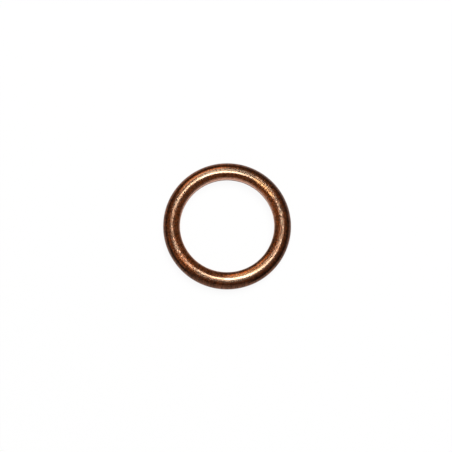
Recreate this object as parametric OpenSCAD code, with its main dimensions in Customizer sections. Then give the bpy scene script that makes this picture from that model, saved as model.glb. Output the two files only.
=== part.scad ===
// Copper crush washer for a 16 mm thread.
// One strip of thin copper sheet is rolled into a hollow ring and lapped on itself
// under the bore. The round crest goes under the bolt head, and the flat hem is the seat.
// The ring is turned about +Z, and rests on the plane z = 0.

/* [Ring] */
// Diameter of the bore, which clears the thread
bore_d = 16.1; // [15:0.1:17]
// Diameter over the rolled outer edge
outside_d = 21.9; // [21:0.1:24]
// Height from the seat to the crest, before the ring is crushed
height = 2; // [1.7:0.05:2.6]
// Thickness of the copper sheet
sheet_t = 0.3; // [0.2:0.01:0.35]

/* [Crown] */
// Width of the narrow flat land along the crest
crest_land = 0.5; // [0.1:0.05:0.7]
// Share of the rim beside the crest land that lies towards the bore
shoulder_share = 0.47; // [0.4:0.01:0.6]
// Radius of the rolled outer edge
roll_r = 0.8; // [0.5:0.05:0.95]
// Height of the shoulder between the bore wall and the crest
shoulder_h = 0.6; // [0.45:0.05:1.1]
// Radius of the bend from the bore wall into the shoulder
shoulder_r = 0.4; // [0.36:0.01:0.5]

/* [Lap under the bore] */
// Radius of the bend at the foot of the bore wall
foot_r = 0.38; // [0.36:0.01:0.6]
// Reach of the tucked foot, from the bore wall into the hollow
foot_w = 0.8; // [0.65:0.05:1.2]
// Gap between the foot and the hem that it is pressed onto
lap_gap = 0.05; // [0.02:0.01:0.15]
// Distance of the hem's cut edge behind the bore wall
hem_setback = 0.02; // [0:0.02:0.4]

/* [Hidden] */
$fn = 180;

// Most that the crest land and the foot take of the rim, and a tight bend of its oval's side
land_share = 0.25;
foot_share = 0.5;
tight_share = 0.9;
// Sizes worked out as shares are rounded to this, so that the stretches of sheet meet exactly
grid = 0.0001;
function share_of(length, share) = grid * round(length * share / grid);

bore_r = bore_d / 2;
outside_r = outside_d / 2;
rim_w = outside_r - bore_r;
land_w = min(crest_land, share_of(rim_w, land_share));
shoulder_w = share_of(rim_w - land_w, shoulder_share);
brow_w = rim_w - land_w - shoulder_w;
edge_r = min(roll_r, share_of(brow_w, tight_share));
crest_inner_r = bore_r + shoulder_w;
crest_outer_r = outside_r - brow_w;
foot_end = min(foot_w, share_of(rim_w, foot_share));
foot_z = sheet_t + lap_gap;
wall_bottom_z = foot_z + foot_r;
wall_top_z = height - shoulder_h;

// Directions in the section
outwards = [1, 0];
upwards = [0, 1];
// Difference between its sides below which an oval is round
round_enough = 0.001;
copper = [0.70, 0.42, 0.30];

// A full ring of the sheet about its own centre. The radius is that of the sheet's outer face.
module sheet_ring(radius) {
    difference() {
        circle(radius);
        if (radius > sheet_t) circle(radius - sheet_t);
    }
}

// A quarter turn of the sheet, upright at [radius, 0] and level at [0, radius]
module quarter_bend(radius) {
    intersection() {
        sheet_ring(radius);
        square(2 * radius);
    }
}

// A quarter of an oval, upright at [run, 0] and level at [0, rise]. A tight bend rounds the far
// end of its longer side, and a wide bend the rest. They meet on the line through their centres.
module oval_bend(run, rise, bend_r) {
    if (abs(run - rise) < round_enough) quarter_bend(rise);
    else if (run < rise) mirror([1, -1]) oval_bend(rise, run, bend_r);
    else {
        tight_r = min(bend_r, share_of(rise, tight_share));
        wide_r = (pow(run - tight_r, 2) + pow(rise, 2) - pow(tight_r, 2)) / (2 * (rise - tight_r));
        wide_centre = [0, rise - wide_r];
        tight_centre = [run - tight_r, 0];
        past_run = ceil(2 * run / (run - tight_r));
        tight_side = [
            wide_centre,
            wide_centre + past_run * tight_centre,
            wide_centre + past_run * (tight_centre - wide_centre)
        ];
        intersection() {
            square([2 * run, 2 * rise]);
            union() {
                intersection() {
                    translate(tight_centre) sheet_ring(tight_r);
                    polygon(tight_side);
                }
                difference() {
                    translate(wide_centre) sheet_ring(wide_r);
                    polygon(tight_side);
                }
            }
        }
    }
}

// The flat hem that the ring rests on, and the rolled edge that leads up from it
module hem_and_roll() {
    roll_centre_r = outside_r - edge_r;
    hem_edge_r = bore_r + hem_setback;
    translate([hem_edge_r, 0]) square([roll_centre_r - hem_edge_r, sheet_t]);
    translate([roll_centre_r, edge_r]) mirror(upwards) quarter_bend(edge_r);
}

// The crown: up from the rolled edge, over the crest land and down the shoulder
module crown() {
    translate([crest_outer_r, edge_r]) oval_bend(brow_w, height - edge_r, edge_r);
    translate([crest_inner_r, height - sheet_t]) square([land_w, sheet_t]);
    translate([crest_inner_r, wall_top_z])
        mirror(outwards) oval_bend(shoulder_w, shoulder_h, shoulder_r);
}

// The bore wall, and the foot that is tucked into the ring on top of the hem
module wall_and_foot() {
    translate([bore_r, wall_bottom_z]) square([sheet_t, wall_top_z - wall_bottom_z]);
    translate([bore_r + foot_r, wall_bottom_z]) rotate(180) quarter_bend(foot_r);
    translate([bore_r + foot_r, foot_z]) square([foot_end - foot_r, sheet_t]);
}

module washer() {
    color(copper) rotate_extrude() {
        hem_and_roll();
        crown();
        wall_and_foot();
    }
}

washer();
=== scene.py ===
import math

import bmesh
import bpy
from mathutils import Matrix, Vector, noise


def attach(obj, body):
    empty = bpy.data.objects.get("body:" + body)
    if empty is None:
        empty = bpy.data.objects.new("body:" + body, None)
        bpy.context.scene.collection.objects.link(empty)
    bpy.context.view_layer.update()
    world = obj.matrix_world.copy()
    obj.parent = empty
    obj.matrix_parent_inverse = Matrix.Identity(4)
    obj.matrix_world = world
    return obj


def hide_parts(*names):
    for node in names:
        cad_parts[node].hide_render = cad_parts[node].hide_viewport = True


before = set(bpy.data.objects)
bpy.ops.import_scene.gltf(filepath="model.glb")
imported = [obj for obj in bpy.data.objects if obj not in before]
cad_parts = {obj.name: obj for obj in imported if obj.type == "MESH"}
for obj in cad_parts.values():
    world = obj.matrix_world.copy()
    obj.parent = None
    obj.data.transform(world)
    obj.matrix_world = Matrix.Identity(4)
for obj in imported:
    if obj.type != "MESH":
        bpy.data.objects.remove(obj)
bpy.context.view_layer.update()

# The washer's sheet.
# One strip of soft copper, 0.3 mm thick, is rolled by dies into a hollow ring: a flat hem that it
# seals on, a rolled outer edge, a round crown, the bore wall, and a foot tucked in over the hem.

# Sizes are in millimetres, and a place in the section is a radius and a height
mm = 0.001
bore_r = 8.05
outside_r = 10.95
ring_h = 2.0
sheet_t = 0.3
roll_r = 0.8
brow_w = 1.272
shoulder_w = 1.128
shoulder_h = 0.6
shoulder_r = 0.4
foot_r = 0.38
foot_end_r = 8.85
foot_z = 0.35
hem_edge_r = 8.07
segments_round = 512
sectors = 16
seam_gap = 0.0001 * mm


def wide_arc(length, rise, tight_r):
    """Radius of the wide arc that ends an oval's quarter, and the degrees where the tight one meets it"""
    side = length - tight_r
    wide_r = (side ** 2 + rise ** 2 - tight_r ** 2) / (2 * (rise - tight_r))
    return wide_r, math.degrees(math.atan2(wide_r - rise, side))


crest_inner_r = bore_r + shoulder_w
crest_outer_r = outside_r - brow_w
brow_r, roll_more = wide_arc(brow_w, ring_h - roll_r, roll_r)
crown_r, bore_turn = wide_arc(shoulder_w, shoulder_h, shoulder_r)
roll_centre = (outside_r - roll_r, roll_r)
brow_centre = (crest_outer_r, ring_h - brow_r)
shoulder_centre = (crest_inner_r, ring_h - crown_r)
bore_bend_centre = (bore_r + shoulder_r, ring_h - shoulder_h)
foot_centre = (bore_r + foot_r, foot_z + foot_r)


def run(section, tip, r, z, steps):
    """Lay a straight stretch of sheet from the tip to a radius and height"""
    step = (Vector((r * mm, 0, z * mm)) - tip.co) / steps
    for _ in range(steps):
        tip = bmesh.ops.extrude_vert_indiv(section, verts=[tip])["verts"][0]
        bmesh.ops.translate(section, verts=[tip], vec=step)
    return tip


def bend(section, tip, centre, degrees, steps):
    """Turn the sheet about a centre, anticlockwise in the section when the degrees are positive"""
    turned = bmesh.ops.spin(
        section, geom=[tip], cent=(centre[0] * mm, 0, centre[1] * mm), axis=(0, -1, 0),
        angle=math.radians(degrees), steps=steps, use_merge=False, use_normal_flip=False)
    return turned["geom_last"][0]


sheet = bmesh.new()
start = bmesh.ops.create_vert(sheet, co=(hem_edge_r * mm, 0, 0))["vert"][0]

# The outer face of the strip, from the hem's cut edge round to the tucked foot
tip = run(sheet, start, roll_centre[0], 0, 12)
tip = bend(sheet, tip, roll_centre, 90 + roll_more, 20)
tip = bend(sheet, tip, brow_centre, 90 - roll_more, 28)
tip = run(sheet, tip, crest_inner_r, ring_h, 6)
tip = bend(sheet, tip, shoulder_centre, 90 - bore_turn, 12)
tip = bend(sheet, tip, bore_bend_centre, bore_turn, 12)
tip = run(sheet, tip, bore_r, foot_centre[1], 6)
tip = bend(sheet, tip, foot_centre, 90, 12)
tip = run(sheet, tip, foot_end_r, foot_z, 3)
# The inner face, back through the hollow
tip = run(sheet, tip, foot_end_r, foot_z + sheet_t, 1)
tip = run(sheet, tip, foot_centre[0], foot_z + sheet_t, 2)
tip = bend(sheet, tip, foot_centre, -90, 4)
tip = run(sheet, tip, bore_r + sheet_t, bore_bend_centre[1], 2)
tip = bend(sheet, tip, bore_bend_centre, -bore_turn, 4)
tip = bend(sheet, tip, shoulder_centre, bore_turn - 90, 4)
tip = run(sheet, tip, crest_outer_r, ring_h - sheet_t, 1)
tip = bend(sheet, tip, brow_centre, roll_more - 90, 8)
tip = bend(sheet, tip, roll_centre, -roll_more - 90, 10)
tip = run(sheet, tip, hem_edge_r, sheet_t, 4)
bmesh.ops.contextual_create(sheet, geom=[tip, start])

# The section is turned through one sector, and that sector is repeated round the ring
bmesh.ops.spin(
    sheet, geom=sheet.verts[:] + sheet.edges[:], cent=(0, 0, 0), axis=(0, 0, 1),
    angle=math.tau / sectors, steps=segments_round // sectors, use_merge=False)
bmesh.ops.spin(
    sheet, geom=sheet.verts[:] + sheet.edges[:] + sheet.faces[:], cent=(0, 0, 0), axis=(0, 0, 1),
    angle=math.tau * (sectors - 1) / sectors, steps=sectors - 1, use_duplicate=True)
bmesh.ops.remove_doubles(sheet, verts=sheet.verts[:], dist=seam_gap)

# Shearing leaves the cut edges of the hem and the foot slightly rounded
cut_edge_r = 0.04
near_corner = 0.002
cut_corners = [
    (hem_edge_r, 0), (hem_edge_r, sheet_t),
    (foot_end_r, foot_z), (foot_end_r, foot_z + sheet_t)]


def is_cut(edge):
    """Whether an edge runs round the ring along a corner of a cut edge"""
    places = [(vert.co.xy.length / mm, vert.co.z / mm) for vert in edge.verts]
    for r, z in cut_corners:
        if all(math.hypot(place[0] - r, place[1] - z) < near_corner for place in places):
            return True
    return False


bmesh.ops.bevel(
    sheet, geom=[edge for edge in sheet.edges if is_cut(edge)], offset=cut_edge_r * mm,
    offset_type="OFFSET", segments=2, profile=0.5, affect="EDGES", material=-1)


def smooth(value, low, high):
    """Nothing at the low value, all at the high one, and smooth between them"""
    share = min(max((value - low) / (high - low), 0), 1)
    return share * share * (3 - 2 * share)


# The crest is eased over, and its ridge isn't quite a true circle. The dies leave slow waves in
# the crown, two flats are worn on it, and the foot puckers where it is turned under the bore.
# Turns are in degrees round the ring. A flat has the turn of its middle, and -1 or 1 for the
# side of the ridge that it lies on.
crest_r = (crest_inner_r + crest_outer_r) / 2
ridge_shift = -0.03
oval = 0.14
oval_turn = -15
off_centre = 0.09
off_centre_turn = 140
bow = 0.08
bow_turn = 30
ease_depth = 0.045
ease_w = 0.65
flats = [(46, -1), (218, 1)]
wave_depth = 0.012
slow_waves = 2.2
slow_wave_place = 7.3
quick_waves = 6
quick_wave_place = 2.1
pucker_depth = 0.03
puckers = 26
pucker_stretch = 0.4
for vert in sheet.verts:
    around = vert.co.xy.normalized()
    r = vert.co.xy.length / mm
    z = vert.co.z / mm
    slow = Vector((around.x * slow_waves, around.y * slow_waves, slow_wave_place))
    quick = Vector((around.x * quick_waves, around.y * quick_waves, quick_wave_place))
    wave = 0.5 + 0.5 * noise.noise(slow)
    wave += 0.25 + 0.25 * noise.noise(quick)
    crown = smooth(z, 0.9, 1.6)
    turn = math.atan2(around.y, around.x)
    ridge_r = crest_r + ridge_shift + oval * math.cos(2 * (turn - math.radians(oval_turn)))
    ridge_r -= off_centre * math.cos(turn - math.radians(off_centre_turn))
    ridge_r -= bow * smooth(math.cos(turn - math.radians(bow_turn)), 0.85, 0.97)
    eased = smooth(abs(r - ridge_r), 0, ease_w)
    for degrees, side in flats:
        worn = smooth(math.cos(turn - math.radians(degrees)), 0.955, 0.99)
        eased *= 1 - worn * (0.5 + 0.5 * smooth(side * (r - ridge_r), -0.1, 0.2))
    z_move = -crown * (wave_depth * wave + ease_depth * eased)
    r_move = -wave_depth * wave * smooth(r, 9.6, 10.9)
    pucker = noise.noise(Vector((around.x * puckers, around.y * puckers, pucker_stretch * z)))
    foot = smooth(r, 8.6, 8.2) * smooth(z, 1.0, 0.6)
    r_move += pucker_depth * (0.5 + 0.5 * pucker) * foot
    vert.co.xy = around * (r + r_move) * mm
    vert.co.z = (z + z_move) * mm

bmesh.ops.recalc_face_normals(sheet, faces=sheet.faces[:])
washer_mesh = bpy.data.meshes.new("folded_sheet")
sheet.to_mesh(washer_mesh)
sheet.free()
for face in washer_mesh.polygons:
    face.use_smooth = True
washer_mesh.set_sharp_from_angle(angle=math.radians(40))
washer = bpy.data.objects.new("folded_sheet", washer_mesh)
bpy.context.scene.collection.objects.link(washer)


class Shade:
    """A number, colour or vector on its way through a finish. Arithmetic on it adds Math nodes."""

    def __init__(self, tree, socket=None):
        self.tree = tree
        self.socket = socket

    def node(self, kind, settings, inputs, output=0):
        """Add a node of a kind, with its settings and then the values or links of its sockets"""
        made = self.tree.nodes.new("ShaderNode" + kind)
        for name, value in settings.items():
            setattr(made, name, value)
        for name, value in inputs.items():
            if isinstance(value, Shade):
                self.tree.links.new(value.socket, made.inputs[name])
            else:
                made.inputs[name].default_value = value
        if made.outputs:
            return Shade(self.tree, made.outputs[output])
        return None

    def maths(self, operation, first, second):
        return self.node("Math", {"operation": operation}, {0: first, 1: second})

    def __add__(self, other):
        return self.maths("ADD", self, other)

    def __radd__(self, other):
        return self.maths("ADD", other, self)

    def __sub__(self, other):
        return self.maths("SUBTRACT", self, other)

    def __rsub__(self, other):
        return self.maths("SUBTRACT", other, self)

    def __mul__(self, other):
        return self.maths("MULTIPLY", self, other)

    def __rmul__(self, other):
        return self.maths("MULTIPLY", other, self)

    def __pow__(self, other):
        return self.maths("POWER", self, other)

    def rise(self, low, high):
        """Nothing at the low value, all at the high one, and smooth between them"""
        return self.node("MapRange", {"interpolation_type": "SMOOTHSTEP"},
                         {"Value": self, "From Min": low, "From Max": high})

    def mix(self, first, second):
        """The first colour where this is 0, the second where it is 1"""
        return self.node("Mix", {"data_type": "RGBA"}, {0: self, 6: first, 7: second}, 2)

    def scaled(self, by):
        """A vector made longer"""
        return self.node("VectorMath", {"operation": "SCALE"}, {0: self, "Scale": by})

    def shifted(self, by):
        """A vector moved by another"""
        return self.node("VectorMath", {"operation": "ADD"}, {0: self, 1: by})

    def grain(self, scale, detail, roughness=0.5):
        """Noise at a place, in features to the millimetre"""
        return self.node("TexNoise", {}, {"Vector": self, "Scale": scale, "Detail": detail,
                                          "Roughness": roughness})

    def towards(self, degrees):
        """How far a direction points towards an angle round the ring, from -1 to 1"""
        aim = (math.cos(math.radians(degrees)), math.sin(math.radians(degrees)), 0)
        return self.node("VectorMath", {"operation": "DOT_PRODUCT"}, {0: self, 1: aim}, "Value")


copper = bpy.data.materials.new("tarnished_copper")
copper.use_nodes = True
copper.node_tree.nodes.clear()
shade = Shade(copper.node_tree)
place = shade.node("Mapping", {}, {
    "Vector": shade.node("TexCoord", {}, {}, "Object"), "Scale": (1000, 1000, 1000)})
x = shade.node("SeparateXYZ", {}, {0: place}, 0)
y = shade.node("SeparateXYZ", {}, {0: place}, 1)
height = shade.node("SeparateXYZ", {}, {0: place}, 2)
radius = (x * x + y * y) ** 0.5
around = shade.node("VectorMath", {"operation": "NORMALIZE"}, {
    0: shade.node("CombineXYZ", {}, {0: x, 1: y, 2: 0.0})})
across = shade.node("CombineXYZ", {}, {0: 0.0, 1: 0.0, 2: radius})

# Where each finish lies, from 0 to 1: the handled crest is burnished and also carries a painted
# highlight, the outer edge is dark oxide and painted shade, and the bore is clean copper with a painted
# reflection. Radii and heights are in millimetres, angles in degrees.
# Painted highlight: along the axis at 110 degrees, where the softbox's highlight falls, the crest is
# rubbed smoother and its colour is painted brighter.
along = around.towards(110)
rubbed_and_highlight = (along * along).rise(0.1, 0.8)
# Painted reflection: an orange band on the inner slope of the crest towards 297 degrees, where the warm
# reflector shows.
orange_reflection = around.towards(297).rise(0.87, 0.97) * (crest_r - 0.2 - radius).rise(-0.15, 0.15)
inner_half = (crest_r + 0.1 - radius).rise(-0.15, 0.15)
straw_flat = around.towards(46).rise(0.95, 0.985) * inner_half
orange_flat = around.towards(224).rise(0.95, 0.985) * (1 - inner_half)
crest_reach = 0.55 + 0.1 * rubbed_and_highlight + 0.15 * orange_reflection + 0.2 * straw_flat
off_crest = shade.maths("ABSOLUTE", radius - crest_r, 0.0)
crest = (crest_reach - off_crest).rise(0.0, 0.5) * height.rise(1.2, 1.6)
# The outer roll is dark oxide and also painted shade, dark enough that it doesn't mirror the white table.
outer = radius.rise(9.9, 10.5)
# Painted reflection: the outermost edge of the roll is painted paler, as the white table seen in it.
rim = radius.rise(10.5, 10.9)
# Painted light: the outer roll's side towards 130 degrees is painted redder, where the warm light falls.
lit_side = around.towards(130).rise(0.2, 0.8)
# The bore is clean copper, and its pale pink is also a painted reflection of the table, reaching further
# up the far wall at 90 degrees.
bore_edge = 8.42 + 0.05 * around.towards(90).rise(0.7, 1.0)
bore = (bore_edge - radius).rise(0.0, 0.2) * height.rise(0.5, 0.9)
# Painted shade: a dark line on the inner edge of the bore towards 303 degrees.
inner_edge_shade = around.towards(303).rise(0.6, 0.85) * (8.52 - radius).rise(-0.08, 0.08)
# Painted shade: the sheet is painted darker low down, near the table.
low_shade = 1 - height.rise(0.45, 0.65)
seat = 1 - height.rise(0.02, 0.3)

# Marks in the metal: combing by the dies, polish along the ring, and the grain of wear
fleck_shift = (3, 8, 5)
combing = around.scaled(36).shifted(across.scaled(0.9)).grain(1.0, 2, 0.6).rise(0.35, 0.65)
polish = around.scaled(5).shifted(across.scaled(6)).grain(1.0, 3, 0.6)
speckle = place.grain(3.6, 2, 0.6).rise(0.40, 0.60)
pits = shade.node("TexVoronoi", {}, {"Vector": place, "Scale": 4.8}, "Color").rise(0.4, 0.7)
flecks = place.shifted(fleck_shift).grain(3.6, 1, 0.6).rise(0.52, 0.60)

# Patches of the crest that handling missed, where the painted highlight is also dimmer: the middle and
# half the width of each in degrees, and how dull and dim it is. Each is at its dullest over part of its
# width.
dullest_share = 0.43
dull_and_dim_patches = [
    (135, 20, 0.4), (180, 26, 0.3), (220, 18, 0.3), (256, 14, 0.4), (318, 26, 0.36), (345, 16, 0.2)]
dulled_and_dimmed = 0.0
for degrees, half_width, amount in dull_and_dim_patches:
    edge = math.cos(math.radians(half_width))
    full = math.cos(math.radians(half_width * dullest_share))
    dulled_and_dimmed = dulled_and_dimmed + amount * around.towards(degrees).rise(edge, full)

brown = (0.63, 0.145, 0.028, 1)
dark_oxide_and_shade = (0.10, 0.038, 0.020, 1)
lit_side_brown = (0.20, 0.058, 0.02, 1)
rim_reflection = (0.32, 0.14, 0.085, 1)
soot_and_shade = (0.02, 0.012, 0.008, 1)
shade_brown = (0.10, 0.045, 0.025, 1)
burnished = (0.93, 0.62, 0.42, 1)
straw = (0.92, 0.50, 0.24, 1)
orange = (0.85, 0.36, 0.16, 1)
clean_pink_and_reflection = (0.60, 0.31, 0.21, 1)
worn_seat = (0.42, 0.19, 0.11, 1)

# How much of each finish shows over the one below it
rim_reflection_share = 0.6
combing_soot = 0.5
pit_soot = 0.3
reflection_straw = 0.7
pit_dullness = 0.7
bore_pits = 0.4
inner_edge_shade_share = 0.55
low_shade_share = 0.7
fleck_shine = 0.15
seat_wear = 0.75
rubbed_smooth = 0.95
# The outer roll: dark oxide with painted shade, and painted light on its side towards 130 degrees
colour = outer.mix(brown, lit_side.mix(dark_oxide_and_shade, lit_side_brown))
# Painted reflection of the table at the outermost edge
colour = (rim_reflection_share * rim).mix(colour, rim_reflection)
colour = (combing_soot * combing + pit_soot * pits).mix(colour, soot_and_shade)
# The crest's bare copper, with the painted orange reflection mixed in as straw
bare_and_reflected = orange_flat.mix((straw_flat + reflection_straw * orange_reflection).mix(burnished, straw), orange)
# Painted highlight: the crest's burnish is painted brightest where the highlight falls, and dimmer in the
# dull patches and the pits.
burnish_and_highlight = crest * (1 - pit_dullness * pits * (1 - rubbed_smooth * rubbed_and_highlight)) * (1 - dulled_and_dimmed)
colour = burnish_and_highlight.mix(colour, bare_and_reflected)
# Clean copper in the bore, with a painted reflection of the table
colour = (bore * (1 - bore_pits * pits)).mix(colour, clean_pink_and_reflection)
# Painted shade on the inner edge towards 303 degrees
colour = (inner_edge_shade_share * inner_edge_shade).mix(colour, soot_and_shade)
# Painted shade low down, inside the outer roll
colour = (low_shade_share * low_shade * (1 - outer)).mix(colour, shade_brown)
colour = (fleck_shine * flecks * (1 - outer) * (1 - burnish_and_highlight)).mix(colour, burnished)
colour = (seat_wear * seat).mix(colour, worn_seat)

polished = 0.145
speckle_dullness = 0.10
bore_dullness = 0.15
roughness = polished + speckle_dullness * speckle * (1 - 0.6 * rubbed_and_highlight) + bore_dullness * bore

# How deep the marks are, as shares of the deepest one
deepest_mark = 0.03 * mm
combing_depth = 0.3
polish_depth = 0.2
speckle_depth = 0.5
pit_depth = 0.35
relief = combing_depth * combing * (1 - 0.8 * crest) + polish_depth * polish
worn_grain = (speckle_depth * speckle - pit_depth * pits) * (1 - rubbed_smooth * rubbed_and_highlight)
relief = relief + worn_grain * (1 - 0.5 * straw_flat)
bumped = shade.node("Bump", {}, {"Strength": 0.5, "Distance": deepest_mark, "Height": relief})
surface = shade.node("BsdfPrincipled", {}, {
    "Base Color": colour, "Metallic": 1.0, "Roughness": roughness, "Anisotropic": 0.7,
    "Anisotropic Rotation": 0.25, "Normal": bumped})
shade.node("OutputMaterial", {}, {"Surface": surface})
washer_mesh.materials.append(copper)

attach(washer, "root")
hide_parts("washer")

# The studio: a white table, a dim room, one long softbox over the ring, a warm reflector behind
# it, and a pale card before it and another at its left. A lamp that metal doesn't mirror brings
# plain surfaces to their own colour. The table is clear from below, so the seat can be looked at.

floor_size = 40.0
floor_z = -0.02 * mm
table_white = (0.9, 0.9, 0.9, 1)
table_glow = 0.92
room_light = 0.16
table = bmesh.new()
bmesh.ops.create_grid(table, x_segments=1, y_segments=1, size=floor_size / 2,
                      matrix=Matrix.Translation((0, 0, floor_z)))
floor_mesh = bpy.data.meshes.new("floor")
table.to_mesh(floor_mesh)
table.free()
floor = bpy.data.objects.new("floor", floor_mesh)
bpy.context.scene.collection.objects.link(floor)

white = bpy.data.materials.new("white_table")
white.use_nodes = True
white.node_tree.nodes.clear()
paint = Shade(white.node_tree)
seen = paint.node("LightPath", {}, {}, "Is Camera Ray")
seen = seen + paint.node("LightPath", {}, {}, "Is Glossy Ray")
seen = seen + paint.node("LightPath", {}, {}, "Is Transmission Ray")
lit = paint.node("BsdfDiffuse", {}, {"Color": table_white})
glow = paint.node("Emission", {}, {"Color": (1, 1, 1, 1), "Strength": 1.0})
top_side = paint.node("MixShader", {}, {0: seen * table_glow, 1: lit, 2: glow})
from_below = paint.node("NewGeometry", {}, {}, "Backfacing")
clear = paint.node("BsdfTransparent", {}, {})
paint.node("OutputMaterial", {}, {"Surface": paint.node("MixShader", {}, {
    0: from_below, 1: top_side, 2: clear})})
floor_mesh.materials.append(white)

room = bpy.data.worlds.new("room")
bpy.context.scene.world = room
room.use_nodes = True
room.node_tree.nodes["Background"].inputs["Color"].default_value = (1, 1, 1, 1)
room.node_tree.nodes["Background"].inputs["Strength"].default_value = room_light


def hang(name, azimuth, lean, distance, long_size, short_size, turn, radiance, tint):
    """Hang a soft panel that faces the ring. Its lean is from straight above, in degrees"""
    data = bpy.data.lights.new(name, "AREA")
    data.shape = "RECTANGLE"
    data.size = long_size
    data.size_y = short_size
    data.energy = radiance * math.pi * long_size * short_size
    data.color = tint
    panel = bpy.data.objects.new(name, data)
    bpy.context.scene.collection.objects.link(panel)
    panel.visible_camera = False
    towards = Vector((
        math.cos(math.radians(azimuth)) * math.sin(math.radians(lean)),
        math.sin(math.radians(azimuth)) * math.sin(math.radians(lean)),
        math.cos(math.radians(lean))))
    panel.location = towards * distance
    long_way = Vector((math.cos(math.radians(turn)), math.sin(math.radians(turn)), 0))
    short_way = towards.cross(long_way).normalized()
    long_way = short_way.cross(towards)
    panel.matrix_world = Matrix.Translation(towards * distance) @ Matrix(
        (long_way, short_way, towards)).transposed().to_4x4()
    return panel


hang("softbox", azimuth=95, lean=9.6, distance=0.5, long_size=0.15, short_size=0.034,
     turn=95, radiance=5.2, tint=(1.0, 0.98, 0.95))
hang("reflector", azimuth=110, lean=39, distance=0.5, long_size=0.22, short_size=0.15,
     turn=20, radiance=1.25, tint=(1.0, 0.90, 0.75))
hang("card", azimuth=262, lean=75, distance=0.5, long_size=0.6, short_size=0.28,
     turn=352, radiance=0.9, tint=(1.0, 1.0, 1.0))
hang("side_card", azimuth=196, lean=48, distance=0.5, long_size=0.3, short_size=0.14,
     turn=286, radiance=0.6, tint=(1.0, 0.95, 0.9))
fill = hang("diffuse_lamp", azimuth=60, lean=30, distance=0.8, long_size=0.6, short_size=0.6,
            turn=0, radiance=6.5, tint=(1, 1, 1))
fill.visible_glossy = False

# The camera leans ten degrees from straight above, as in the photograph
camera_lean = 9.6
camera_distance = 0.3
ring_px = 128.1
picture_px = 452
shift_px = -1.1
aim_height = 0.8 * mm
outside_d = 21.9 * mm
view = bpy.data.cameras.new("camera")
camera = bpy.data.objects.new("camera", view)
bpy.context.scene.collection.objects.link(camera)
bpy.context.scene.camera = camera
back = Vector((0, -math.sin(math.radians(camera_lean)), math.cos(math.radians(camera_lean))))
middle = Vector((0, 0, aim_height))
camera.location = middle + back * camera_distance
camera.rotation_mode = "QUATERNION"
camera.rotation_quaternion = (-back).to_track_quat("-Z", "Y")
view.sensor_width = 36
view.lens = view.sensor_width * camera_distance * ring_px / (outside_d * picture_px)
view.shift_x = shift_px / picture_px
view.clip_start = 0.01
view.clip_end = 20

bpy.context.scene.view_settings.view_transform = "Standard"
